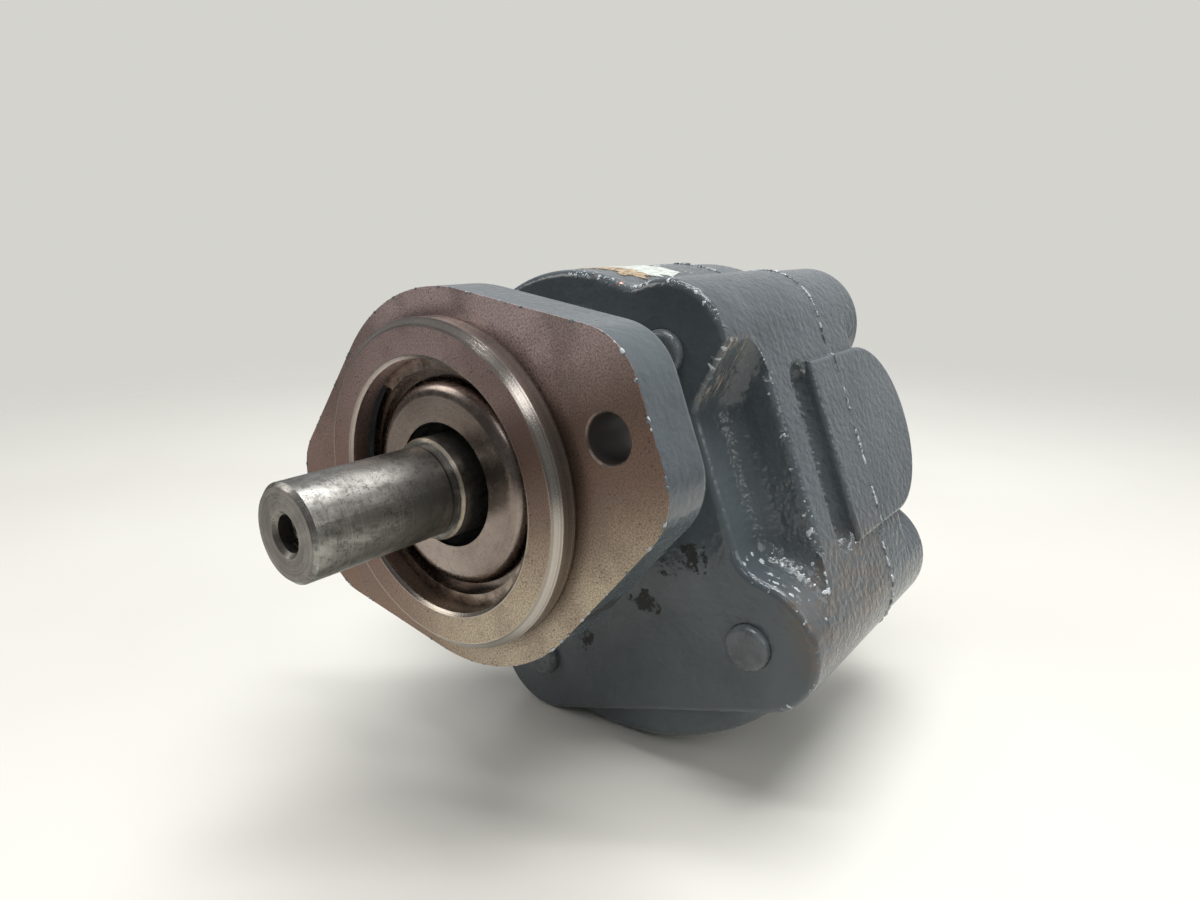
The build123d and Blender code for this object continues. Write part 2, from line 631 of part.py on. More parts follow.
def make_rotor():
    y0, y1 = CAM_Y + AXIAL_PLAY, PRESSURE_PLATE_Y - AXIAL_PLAY
    slot_floor = CAM_MINOR_R - RUNNING - VANE_HEIGHT - VANE_RETRACT - SLOT_PLAY
    rotor = disc(ROTOR_R, y0, y1)
    slot = Pos((slot_floor + ROTOR_R + 1) / 2, (y0 + y1) / 2) * Box(
        ROTOR_R + 1 - slot_floor, y1 - y0 + 2, VANE_T + 2 * SLOT_PLAY
    )
    slot += disc(VANE_ROOT_R, y0 - 1, y1 + 1, x=slot_floor)
    for i in range(VANE_COUNT):
        rotor -= Rot(0, -vane_angle(i), 0) * slot
    play = SLOT_PLAY
    bore = spline(SPLINE_ROOT_D / 2 + play, SPLINE_TIP_D / 2 + play, SPLINE_TOOTH_W + 2 * play)
    return rotor - prism(bore, y0 - 1, y1 + 1)


def vane_angle(i):
    """Angle of a vane's slot from +X towards +Z; no slot lies on the cam's axes."""
    return 360 * (i + 0.5) / VANE_COUNT


def make_vane(i):
    tip = CAM_MINOR_R - RUNNING
    outline = Pos(tip - VANE_HEIGHT / 2, 0) * Rectangle(VANE_HEIGHT, VANE_T)
    outline = fillet(outline.vertices().group_by(Axis.X)[-1], VANE_TIP_R)
    vane = prism(outline, CAM_Y + AXIAL_PLAY, PRESSURE_PLATE_Y - AXIAL_PLAY)
    return Rot(0, -vane_angle(i), 0) * vane


def make_disc_spring():
    inner, outer = DISC_SPRING_R - DISC_SPRING_REACH, DISC_SPRING_R
    low, high = PRESSURE_PLATE_END, JOINT_Y
    return turned(
        (inner, low), (inner, low + DISC_SPRING_T), (outer, high), (outer, high - DISC_SPRING_T)
    )


# ---- fasteners
def make_bolts():
    seat = BOSS_BACK_Y + WASHER_T
    hexagon = RegularPolygon(HEAD_ACROSS_FLATS / 2, 6, major_radius=False)
    group = []
    for x, z in BOLT_CENTRES:
        shank = disc(BOLT_D / 2, BODY_FRONT_Y - BOLT_PROUD, seat + 1, x, z)
        shank = fillet(edges_at(shank, BODY_FRONT_Y - BOLT_PROUD), BOLT_END_R)
        group.append(shank + prism(Pos(x, z) * hexagon, seat, seat + HEAD_T))
    return group


def make_washers():
    hole = BOLT_D / 2 + BOLT_CLEARANCE
    plain = Circle(WASHER_D / 2) - Circle(hole)
    return [prism(Pos(x, z) * plain, BOSS_BACK_Y, BOSS_BACK_Y + WASHER_T) for x, z in BOLT_CENTRES]


def make_all():
    """Every piece by name, in the pump's own axes."""
    pieces = {
        "front_housing": make_front_housing(),
        "rear_cover": make_rear_cover(),
        "drive_shaft": make_drive_shaft(),
        "shaft_seal_case": make_seal_case(),
        "shaft_seal_lip": make_seal_lip(),
        "seal_garter_spring": torus(SEAL_HOLE_D / 2 + GARTER_WIRE_D, GARTER_WIRE_D / 2, GARTER_Y),
        "seal_snap_ring": make_seal_snap_ring(),
        "bearing_outer_race": ring(BEARING_OD / 2, BEARING_OD / 2 - RACE_WALL, BEARING_Y, BEARING_END)
        - ball_track(),
        "bearing_inner_race": ring(COLLAR_D / 2 + RACE_WALL, COLLAR_D / 2, BEARING_Y, BEARING_END)
        - ball_track(),
        "bearing_cage": make_bearing_cage(),
        "bearing_balls": Compound(make_balls()),
        "bearing_clip": make_bearing_clip(),
        "front_side_plate": make_plate(
            FRONT_PLATE_Y, CAM_Y, WAIST_SHAFT_D / 2 + PLATE_BORE_PLAY, PLATE_PORT_ANGLE
        ),
        "cam_ring": make_cam_ring(),
        "rotor": make_rotor(),
        "rear_pressure_plate": make_pressure_plate(),
        "plate_disc_spring": make_disc_spring(),
        "plate_seal": torus(CARTRIDGE_D / 2 - PLATE_SEAL_D / 2, PLATE_SEAL_D / 2, PLATE_SEAL_Y),
        "cover_seal": torus(COVER_SEAL_R, COVER_SEAL_D / 2, JOINT_Y + COVER_SEAL_D / 2),
        "cartridge_pins": Compound(pins(CARTRIDGE_PIN_D / 2, PIN_Y, PIN_Y + CARTRIDGE_PIN_LENGTH)),
        "rear_bushing": ring(BUSHING_OD / 2, TAIL_D / 2 + RUNNING, CHAMBER_END, BUSHING_END),
        "cover_dowels": Compound([
            disc(DOWEL_D / 2, DOWEL_Y, DOWEL_Y + DOWEL_LENGTH, x, DOWEL_Z) for x in (-DOWEL_X, DOWEL_X)
        ]),
        "cover_bolts": Compound(make_bolts()),
        "cover_washers": Compound(make_washers()),
    }
    for i in range(VANE_COUNT):
        pieces[f"vane_{i + 1:02d}"] = make_vane(i)
    return pieces


os.makedirs("parts", exist_ok=True)
for name, piece in make_all().items():
    export_step(LIE * piece, f"parts/{name}.step")
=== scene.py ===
import json
import math
import random

import bmesh
import bpy
from mathutils import Matrix, Quaternion, Vector, noise


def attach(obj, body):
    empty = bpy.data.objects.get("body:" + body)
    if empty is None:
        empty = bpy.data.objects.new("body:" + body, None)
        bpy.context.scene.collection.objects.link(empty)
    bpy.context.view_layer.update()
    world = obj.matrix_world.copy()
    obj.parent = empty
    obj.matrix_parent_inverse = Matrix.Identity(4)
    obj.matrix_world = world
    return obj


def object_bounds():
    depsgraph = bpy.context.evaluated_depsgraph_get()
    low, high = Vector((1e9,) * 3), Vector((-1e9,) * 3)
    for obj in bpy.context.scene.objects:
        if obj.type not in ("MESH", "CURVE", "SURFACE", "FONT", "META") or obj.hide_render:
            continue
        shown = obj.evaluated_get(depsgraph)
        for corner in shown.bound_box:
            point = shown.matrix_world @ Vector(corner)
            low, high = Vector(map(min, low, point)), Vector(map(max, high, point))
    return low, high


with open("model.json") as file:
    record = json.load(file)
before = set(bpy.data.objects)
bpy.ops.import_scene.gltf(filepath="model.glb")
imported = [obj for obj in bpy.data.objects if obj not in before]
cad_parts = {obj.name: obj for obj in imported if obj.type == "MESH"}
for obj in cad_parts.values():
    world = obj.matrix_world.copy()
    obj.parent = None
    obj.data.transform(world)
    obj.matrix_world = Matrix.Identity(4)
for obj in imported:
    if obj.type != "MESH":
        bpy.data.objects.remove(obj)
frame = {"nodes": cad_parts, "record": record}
cad_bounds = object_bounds()
nodes = frame["nodes"]
MM = 0.001

# Sizes and places on the pump, in millimetres in its own axes.
FLANGE_T = 16.0
BOLT_X, BOLT_HOLE_R = 53.2, 5.75
BORE_R, BORE_END_Y = 32.1, 107.0
BODY_FRONT_Y = 47.5
JOINT_Y = 103.0
INLET_YZ, INLET_R, INLET_MOUTH_X = (81.0, -38.0), 16.6, -59.2
OUTLET_XZ, OUTLET_R, OUTLET_MOUTH_Y = (0.0, -47.5), 13.4, 139.0
CENTRE_HOLE_R, CENTRE_HOLE_MOUTH_Y = 4.2, -41.0
COVER_BOLTS = [(x, z) for x in (-39.5, 39.5) for z in (-64.0, 16.5)]

# The pump's own axes (X along the flange's bolt line, Z across it) are rolled about the shaft,
# and the inlet's axis points along their -X.
mounts = {m["name"]: m for m in frame["record"]["mounts"]}
inlet_axis = mounts["inlet_port"]["axis"]
ROLL = math.atan2(inlet_axis[2], -inlet_axis[0])


def pump(x, y, z):
    """A point given in millimetres in the pump's own axes, in the row frame in metres."""
    c, s = math.cos(ROLL), math.sin(ROLL)
    return Vector((x * c + z * s, y, -x * s + z * c)) * MM


def unroll(v):
    """From the row frame in metres to the pump's own axes in millimetres."""
    c, s = math.cos(ROLL), math.sin(ROLL)
    return Vector((v.x * c - v.z * s, v.y, v.x * s + v.z * c)) / MM


# ---------------------------------------------------------------- node helpers
def new_material(name):
    """A material with one shader: (material, node tree, shader)."""
    mat = bpy.data.materials.new(name)
    mat.use_nodes = True
    tree = mat.node_tree
    tree.nodes.clear()
    out = tree.nodes.new("ShaderNodeOutputMaterial")
    shader = tree.nodes.new("ShaderNodeBsdfPrincipled")
    tree.links.new(shader.outputs[0], out.inputs[0])
    return mat, tree, shader


class Build:
    """Short calls for making shader nodes, with places in millimetres in the pump's own axes."""

    # the two values and the result of a Mix node's sockets, by the kind of value
    MIX_SOCKETS = {"FLOAT": (2, 3, 0), "VECTOR": (4, 5, 1), "RGBA": (6, 7, 2)}

    def __init__(self, tree):
        self.t = tree
        coord = tree.nodes.new("ShaderNodeTexCoord")
        turn = tree.nodes.new("ShaderNodeMapping")
        turn.inputs["Rotation"].default_value = (0, -ROLL, 0)
        turn.inputs["Scale"].default_value = (1 / MM, 1 / MM, 1 / MM)
        self.link(coord.outputs["Object"], turn.inputs["Vector"])
        self.place = turn.outputs[0]
        split = tree.nodes.new("ShaderNodeSeparateXYZ")
        self.link(self.place, split.inputs[0])
        self.x, self.y, self.z = split.outputs
        self.r = self.distance(self.x, self.z, (0, 0))

    def link(self, a, b):
        """Join an output to a socket, or set the socket to a plain value."""
        if hasattr(a, "is_output"):
            self.t.links.new(a, b)
        else:
            b.default_value = a

    def math(self, op, a, b=None):
        n = self.t.nodes.new("ShaderNodeMath")
        n.operation = op
        for value, socket in zip((a, b), n.inputs):
            if value is not None:
                self.link(value, socket)
        return n.outputs[0]

    def add(self, a, b):
        return self.math("ADD", a, b)

    def sub(self, a, b):
        return self.math("SUBTRACT", a, b)

    def mul(self, *values):
        product = values[0]
        for value in values[1:]:
            product = self.math("MULTIPLY", product, value)
        return product

    def largest(self, *values):
        top = values[0]
        for value in values[1:]:
            top = self.math("MAXIMUM", top, value)
        return top

    def distance(self, u, v, centre):
        """How far a point is from a centre, in two of the pump's axes."""
        du, dv = self.sub(u, centre[0]), self.sub(v, centre[1])
        return self.math("SQRT", self.add(self.mul(du, du), self.mul(dv, dv)))

    def disc(self, u, v, centre, radius, soft=0.3):
        """1 inside a circle in two of the pump's axes."""
        return self.ramp(self.distance(u, v, centre), radius - soft, radius + soft, 1.0, 0.0)

    def ramp(self, value, low, high, out_low=0.0, out_high=1.0):
        """Smooth step from out_low at low to out_high at high; low may be the larger one."""
        n = self.t.nodes.new("ShaderNodeMapRange")
        n.interpolation_type = "SMOOTHSTEP"
        for v, socket in zip((value, low, high, out_low, out_high), n.inputs):
            self.link(v, socket)
        return n.outputs[0]

    def combine(self, x, y, z):
        n = self.t.nodes.new("ShaderNodeCombineXYZ")
        for value, socket in zip((x, y, z), n.inputs):
            self.link(value, socket)
        return n.outputs[0]

    def noise(self, scale, detail=3.0, rough=0.55, stretch=None, distort=0.0, seed=0.0, place=None):
        """Noise whose scale is in features per millimetre; stretch scales the axes apart."""
        n = self.t.nodes.new("ShaderNodeTexNoise")
        n.inputs["Scale"].default_value = scale
        n.inputs["Detail"].default_value = detail
        n.inputs["Roughness"].default_value = rough
        n.inputs["Distortion"].default_value = distort
        m = self.t.nodes.new("ShaderNodeMapping")
        m.inputs["Location"].default_value = (seed, seed * 1.7, -seed)
        m.inputs["Scale"].default_value = stretch or (1, 1, 1)
        self.link(place or self.place, m.inputs["Vector"])
        self.link(m.outputs[0], n.inputs["Vector"])
        return n.outputs["Fac"]

    def cells(self, scale, seed=0.0):
        n = self.t.nodes.new("ShaderNodeTexVoronoi")
        n.inputs["Scale"].default_value = scale
        m = self.t.nodes.new("ShaderNodeMapping")
        m.inputs["Location"].default_value = (seed, -seed, seed * 0.6)
        self.link(self.place, m.inputs["Vector"])
        self.link(m.outputs[0], n.inputs["Vector"])
        return n.outputs["Distance"]

    def spin(self, scale_r, scale_y, detail=2.0, seed=0.0):
        """Noise that only changes along the radius and along the shaft: turning marks."""
        place = self.combine(self.mul(self.r, scale_r), self.mul(self.y, scale_y), seed)
        return self.noise(1.0, detail, 0.5, place=place)

    def blend(self, kind, factor, a, b):
        first, second, result = self.MIX_SOCKETS[kind]
        n = self.t.nodes.new("ShaderNodeMix")
        n.data_type = kind
        for value, socket in ((factor, 0), (a, first), (b, second)):
            self.link(value, n.inputs[socket])
        return n.outputs[result]

    def mix(self, factor, a, b):
        return self.blend("RGBA", factor, a, b)

    def mixf(self, factor, a, b):
        return self.blend("FLOAT", factor, a, b)

    def bump(self, height, distance_mm, strength):
        n = self.t.nodes.new("ShaderNodeBump")
        n.inputs["Strength"].default_value = strength
        n.inputs["Distance"].default_value = distance_mm * MM
        self.link(height, n.inputs["Height"])
        return n.outputs[0]


def rgb(r, g, b):
    return (r, g, b, 1.0)


# ---------------------------------------------------------------- the castings' finish
def bare_zones(b):
    """Masks of the machined iron: all of it, then the bore, the bolt holes and the ports apart."""
    ragged = b.mul(b.sub(b.noise(0.35, 4, 0.65), 0.5), 1.3)
    face = b.ramp(b.add(b.y, ragged), 0.15, 0.35, 1.0, 0.0)
    bore = b.mul(b.ramp(b.r, BORE_R - 0.2, BORE_R + 0.2, 1.0, 0.0),
                 b.ramp(b.y, BORE_END_Y + 1, BORE_END_Y - 1))
    ears = b.math("ABSOLUTE", b.x)
    hole = b.mul(b.disc(ears, b.z, (BOLT_X, 0), BOLT_HOLE_R, 0.1),
                 b.ramp(b.y, FLANGE_T - 1.0, FLANGE_T - 0.4, 1.0, 0.0))
    inlet = b.mul(b.disc(b.y, b.z, INLET_YZ, INLET_R + 1), b.ramp(b.x, -40, -39, 1.0, 0.0))
    outlet = b.mul(b.disc(b.x, b.z, OUTLET_XZ, OUTLET_R + 1), b.ramp(b.y, 122, 123))
    ports = b.largest(inlet, outlet)
    return b.largest(face, bore, hole, ports), bore, hole, ports


def enamel_tone(b):
    """Blue-grey enamel, dusty in patches, thin and brownish low on the ridge and flank."""
    patches = b.ramp(b.noise(0.03, 4, 0.6), 0.3, 0.7)
    tone = b.mix(patches, rgb(0.070, 0.084, 0.094), rgb(0.098, 0.116, 0.127))
    dusty = b.ramp(b.noise(0.06, 5, 0.65, seed=11), 0.56, 0.74)
    tone = b.mix(b.mul(dusty, 0.16), tone, rgb(0.17, 0.185, 0.185))
    low = b.mul(b.ramp(b.x, 50, 57), b.ramp(b.y, 104, 97), b.ramp(b.z, -36, -56), b.ramp(b.z, -80, -70))
    drag = b.noise(0.35, 4, 0.65, stretch=(1.0, 0.35, 1.0), seed=5)
    return b.mix(b.mul(low, b.ramp(drag, 0.38, 0.66, 0.15, 0.75)), tone, rgb(0.135, 0.104, 0.082))


def undercut_streaks(b):
    """Mask and tone of the pale streaks dragged along the undercut edge of the upper boss."""
    off_edge = b.add(b.mul(b.sub(b.x, 54.0), 0.67), b.mul(b.sub(b.z, 9.7), -0.74))
    along = b.add(b.mul(b.x, 0.73), b.mul(b.z, 0.68))
    beside = b.ramp(b.math("ABSOLUTE", b.sub(off_edge, 0.3)), 1.5, 0.6)
    zone = b.mul(beside, b.ramp(b.y, 64, 54), b.ramp(b.z, 0, 5), b.ramp(b.x, 60.0, 58))
    drawn_out = b.combine(b.mul(along, 0.14), b.mul(b.y, 0.9), b.mul(off_edge, 0.9))
    streak = b.noise(1.0, 4, 0.62, place=drawn_out, seed=21)
    gaps = b.ramp(b.noise(0.16, 4, 0.65, seed=33), 0.42, 0.56)
    tone = b.mix(b.ramp(streak, 0.52, 0.64), rgb(0.22, 0.170, 0.125), rgb(0.46, 0.42, 0.36))
    return b.mul(zone, b.ramp(streak, 0.46, 0.56), gaps), tone


# Where the enamel has flaked off the front face: centre in x and z, and size.
FLAKES = (((30.5, -38.5), 3.0), ((9.0, -49.5), 3.4), ((-17.5, -59.5), 2.0), ((20.0, -41.0), 1.0))


def flaked_off(b):
    """Mask of the ragged patches low on the front face where the enamel is gone."""
    ragged = b.mul(b.sub(b.noise(0.42, 5, 0.72, seed=3.4), 0.5), 19.0)
    patches = [b.ramp(b.add(b.distance(b.x, b.z, centre), ragged), size - 0.2, size + 0.2, 1.0, 0.0)
               for centre, size in FLAKES]
    return b.mul(b.largest(*patches), b.ramp(b.y, BODY_FRONT_Y + 2.5, BODY_FRONT_Y + 1.5))


def copper_specks(b):
    """Mask of the copper-coloured specks along the crown's front edge."""
    edge = b.mul(b.disc(b.x, b.z, (33, 33), 12, 3),
                 b.ramp(b.y, BODY_FRONT_Y + 3.5, BODY_FRONT_Y + 2.5),
                 b.ramp(b.y, BODY_FRONT_Y, BODY_FRONT_Y + 0.3))
    spots = b.ramp(b.cells(0.6, seed=3), 0.26, 0.32, 1.0, 0.0)
    return b.mul(edge, spots, b.ramp(b.noise(0.35, 2, 0.5, seed=30), 0.46, 0.50))


def turned_edges(b):
    """Mask of the bright turned edge of the pilot and the lip of its bore."""
    pilot_edge = b.mul(b.ramp(b.r, 38.9, 39.6), b.ramp(b.y, -0.4, -0.9))
    lip = b.mul(b.ramp(b.r, 31.5, 31.8), b.ramp(b.r, 32.9, 32.6), b.ramp(b.y, -4.4, -5.4))
    return b.largest(pilot_edge, b.mul(lip, 0.8))


def iron_with_painted_light(b, grain, bright, painted_recess_shade, ports):
    """Bare iron, with painted reflections making it pinkish towards the top of the face, grey-beige at its
    foot and redder on the left.
    """
    # painted reflections of the room in the metal face: pinkish towards the top, grey-beige at the foot,
    # redder on the left
    iron = b.mix(b.ramp(b.z, 2, 30), rgb(0.225, 0.147, 0.114), rgb(0.86, 0.67, 0.66))
    iron = b.mix(b.ramp(b.z, -8, -34), iron, rgb(0.52, 0.435, 0.325))
    iron = b.mix(b.mul(b.ramp(b.x, 4, -38), 0.75), iron, rgb(0.175, 0.088, 0.060))
    iron = b.mix(ports, iron, rgb(0.27, 0.245, 0.225))
    # stains, dark grain, the pilot's face darker towards its top, painted shadow at the pilot's foot and
    # pores
    stains = b.ramp(b.noise(0.06, 5, 0.65, seed=8), 0.42, 0.66, 0.0, 0.45)
    iron = b.mix(stains, iron, rgb(0.19, 0.14, 0.12))
    iron = b.mix(b.ramp(grain, 0.38, 0.60, 0.62, 0.0), iron, rgb(0.085, 0.064, 0.055))
    pilot_face = b.mul(b.ramp(b.y, -5.6, -6.1), b.ramp(b.z, -14, 8, 0.0, 0.45))
    iron = b.mix(pilot_face, iron, rgb(0.20, 0.125, 0.11))
    # painted shadow of the pilot on the flange face, in a ring round its foot
    pilot_foot_shadow = b.mul(b.ramp(b.y, -1.4, -0.3), b.ramp(b.add(b.r, b.mul(grain, 2.0)), 46.5, 41.5))
    iron = b.mix(b.mul(pilot_foot_shadow, 0.6), iron, rgb(0.075, 0.055, 0.046))
    pores = b.mul(b.ramp(b.cells(0.9), 0.14, 0.26, 1.0, 0.0),
                  b.ramp(b.noise(0.12, 3, 0.6, seed=2), 0.48, 0.62))
    iron = b.mix(b.mul(pores, 0.7), iron, rgb(0.035, 0.027, 0.024))
    turned = b.ramp(b.spin(1.2, 2.0, seed=3), 0.35, 0.65)
    turned_steel = b.mix(turned, rgb(0.30, 0.27, 0.24), rgb(0.46, 0.43, 0.39))
    iron = b.mix(b.mul(bright, 0.85), iron, turned_steel)
    # painted shade: nearly black deeper in the bore and inside the bolt holes
    return b.mix(painted_recess_shade, iron, rgb(0.040, 0.034, 0.031))


def enamel_relief(b, wet, chips):
    """Sand-cast surface under the enamel, with orange peel in it."""
    flank = b.mul(b.ramp(b.y, 49, 58, 0.45, 1.0), b.mixf(wet, 1.0, 0.25))
    cast = b.mul(b.noise(0.48, 1, 0.4), flank)
    swell = b.mul(b.noise(0.10, 2, 0.5, seed=14), 0.9)
    dents = b.mul(b.noise(0.95, 1, 0.4, seed=17), flank, 0.35)
    peel = b.mul(b.noise(1.1, 2, 0.5, seed=9), 0.10)
    height = b.add(b.add(cast, b.add(swell, dents)), peel)
    return b.bump(b.sub(height, b.mul(chips, 0.25)), 0.8, 0.5)


def casting_material():
    """Blue-grey enamel over a rough casting, with bare machined iron on the flange's face."""
    mat, tree, shader = new_material("casting_paint")
    b = Build(tree)
    bare, bore, hole, ports = bare_zones(b)
    streaks, streak_tone = undercut_streaks(b)
    chips = flaked_off(b)
    specks = copper_specks(b)
    bright = turned_edges(b)
    # painted shade, growing deeper into the bore and inside the bolt holes
    painted_recess_shade = b.largest(b.mul(bore, b.ramp(b.y, -4.0, -1.0, 0.0, 0.55)),
                     b.mul(hole, b.ramp(b.y, 0.0, 0.7, 0.0, 0.93)))
    grain = b.noise(2.2, 5, 0.72)

    tone = b.mix(streaks, enamel_tone(b), streak_tone)
    tone = b.mix(chips, tone, rgb(0.010, 0.010, 0.011))
    tone = b.mix(specks, tone, rgb(0.52, 0.30, 0.22))
    b.link(b.mix(bare, tone, iron_with_painted_light(b, grain, bright, painted_recess_shade, ports)), shader.inputs["Base Color"])
    metal = b.mul(bare, b.ramp(painted_recess_shade, 0.6, 0.9, 0.88, 0.25))
    b.link(b.largest(metal, b.mul(specks, 0.9)), shader.inputs["Metallic"])

    # the enamel is glossy, and lies in wet-looking runs in the lower end of the undercut
    wet = b.mul(b.disc(b.x, b.z, (49, -42), 8, 5), b.ramp(b.y, BODY_FRONT_Y - 0.1, BODY_FRONT_Y + 0.3),
                b.ramp(b.y, 62, 57))
    gloss = b.ramp(b.noise(0.5, 3, 0.6, seed=4), 0.3, 0.7, 0.14, 0.27)
    gloss = b.mixf(wet, gloss, 0.06)
    gloss = b.mixf(b.largest(chips, streaks), gloss, 0.6)
    rough = b.mixf(bright, b.ramp(grain, 0.3, 0.7, 0.46, 0.34), 0.20)
    rough = b.mixf(painted_recess_shade, rough, 0.55)
    b.link(b.mixf(bare, gloss, rough), shader.inputs["Roughness"])
    shader.inputs["Specular IOR Level"].default_value = 0.5

    # fine grain and turning marks on the iron
    fine = b.bump(b.add(b.noise(2.6, 3, 0.7), b.mul(b.spin(6.0, 0.0), 0.35)), 0.04, 0.5)
    b.link(b.blend("VECTOR", bare, enamel_relief(b, wet, chips), fine), shader.inputs["Normal"])
    return mat


# ---------------------------------------------------------------- the other materials
def wet_paint_and_glints():
    """Drops and runs of the enamel, glossier than the rest, with pale patches painted on as glints."""
    mat, tree, shader = new_material("wet_paint_and_glints")
    b = Build(tree)
    tone = b.mix(b.ramp(b.noise(0.4, 3), 0.3, 0.7), rgb(0.085, 0.100, 0.112), rgb(0.15, 0.17, 0.18))
    # pale patches: painted glints on the drops
    tone = b.mix(b.ramp(b.noise(0.33, 2, seed=8), 0.50, 0.56), tone, rgb(0.50, 0.53, 0.55))
    b.link(tone, shader.inputs["Base Color"])
    b.link(b.ramp(b.noise(1.5, 2, seed=3), 0.3, 0.7, 0.03, 0.12), shader.inputs["Roughness"])
    b.link(b.bump(b.noise(1.4, 2, seed=5), 0.10, 0.4), shader.inputs["Normal"])
    return mat


def label_residue():
    """Torn brown tape with a scrap of pale paper left on it."""
    mat, tree, shader = new_material("label_residue")
    b = Build(tree)
    side = b.add(b.y, b.mul(b.sub(b.noise(0.25, 4, 0.7, seed=6), 0.5), 9.0))
    fibre = b.noise(0.9, 5, 0.7, stretch=(1.0, 0.4, 1.0), seed=2)
    tan = b.mix(b.ramp(fibre, 0.38, 0.62), rgb(0.23, 0.160, 0.095), rgb(0.50, 0.395, 0.27))
    white = b.mix(b.ramp(fibre, 0.35, 0.6), rgb(0.42, 0.44, 0.40), rgb(0.62, 0.66, 0.62))
    b.link(b.mix(b.ramp(side, 66.0, 67.0), tan, white), shader.inputs["Base Color"])
    shader.inputs["Roughness"].default_value = 0.8
    b.link(b.bump(fibre, 0.15, 0.6), shader.inputs["Normal"])
    return mat


def painted_fastener():
    """The enamel on the screws and washers, smoother than on the castings."""
    mat, tree, shader = new_material("painted_fastener")
    b = Build(tree)
    tone = b.mix(b.ramp(b.noise(0.2, 4), 0.3, 0.7), rgb(0.082, 0.094, 0.10), rgb(0.125, 0.143, 0.152))
    b.link(tone, shader.inputs["Base Color"])
    b.link(b.ramp(b.noise(0.7, 3), 0.3, 0.7, 0.2, 0.36), shader.inputs["Roughness"])
    b.link(b.bump(b.noise(0.6, 3, 0.5), 0.5, 0.4), shader.inputs["Normal"])
    return mat


def shaft_material():
    """Ground steel with oil stains and fine pits, and turning marks on its end."""
    mat, tree, shader = new_material("shaft_steel")
    b = Build(tree)
    stain = b.noise(0.10, 6, 0.68, stretch=(1.0, 0.5, 1.0), distort=0.6)
    tone = b.mix(b.ramp(stain, 0.38, 0.66), rgb(0.15, 0.145, 0.13), rgb(0.37, 0.36, 0.335))
    pits = b.ramp(b.cells(1.5), 0.16, 0.30, 1.0, 0.0)
    pits = b.mul(pits, b.ramp(b.noise(0.13, 4, 0.7, seed=7), 0.44, 0.56))
    tone = b.mix(b.mul(pits, 0.8), tone, rgb(0.035, 0.030, 0.026))
    film = b.ramp(b.noise(0.05, 3, 0.6, stretch=(1, 0.4, 1), seed=20), 0.5, 0.64)
    tone = b.mix(b.mul(film, 0.5), tone, rgb(0.17, 0.145, 0.12))
    mottle = b.mul(b.ramp(b.noise(0.5, 5, 0.72, seed=41), 0.50, 0.60),
                   b.ramp(b.noise(0.07, 3, 0.6, seed=43), 0.42, 0.56))
    tone = b.mix(b.mul(mottle, 0.55), tone, rgb(0.075, 0.068, 0.062))
    rings = b.spin(2.2, 5.0, 3.0)
    tone = b.mix(b.mul(b.ramp(rings, 0.5, 0.7), 0.2), tone, rgb(0.46, 0.45, 0.43))
    end = b.ramp(b.y, -44.4, -44.3, 1.0, 0.0)
    end_marks = b.ramp(b.spin(3.0, 0.0, 3.0, seed=5), 0.4, 0.62)
    tone = b.mix(b.mul(end, 0.7), tone, b.mix(end_marks, rgb(0.13, 0.115, 0.105), rgb(0.27, 0.25, 0.235)))
    # a brassy ring at the foot of the shaft and a dark line in front of it
    brass = b.mul(b.ramp(b.y, -6.9, -6.7), b.ramp(b.y, -6.3, -6.4), b.ramp(b.r, 11.3, 11.5))
    tone = b.mix(b.mul(brass, 0.4), tone, rgb(0.55, 0.42, 0.26))
    line = b.mul(b.ramp(b.y, -9.0, -8.8), b.ramp(b.y, -8.2, -8.4))
    tone = b.mix(b.mul(line, 0.8), tone, rgb(0.05, 0.045, 0.04))
    b.link(tone, shader.inputs["Base Color"])
    shader.inputs["Metallic"].default_value = 1.0
    rough = b.mixf(pits, b.ramp(stain, 0.35, 0.65, 0.46, 0.32), 0.6)
    b.link(rough, shader.inputs["Roughness"])
    height = b.sub(b.add(b.mul(rings, 0.5), b.mul(b.noise(2.4, 3), 0.4)), pits)
    b.link(b.bump(height, 0.05, 0.6), shader.inputs["Normal"])
    return mat


def steel(name, low, high, rough, metallic=1.0, turned=True):
    """Plain steel, bronze or rubber with its own variation of tone and turning marks."""
    mat, tree, shader = new_material(name)
    b = Build(tree)
    tone = b.mix(b.ramp(b.noise(0.3, 5, 0.6), 0.32, 0.68), rgb(*low), rgb(*high))
    b.link(tone, shader.inputs["Base Color"])
    shader.inputs["Metallic"].default_value = metallic
    b.link(b.ramp(b.noise(0.9, 3, seed=4), 0.3, 0.7, *rough), shader.inputs["Roughness"])
    mark = b.spin(4.0, 4.0) if turned else b.noise(1.8, 3)
    b.link(b.bump(mark, 0.02, 0.5), shader.inputs["Normal"])
    return mat


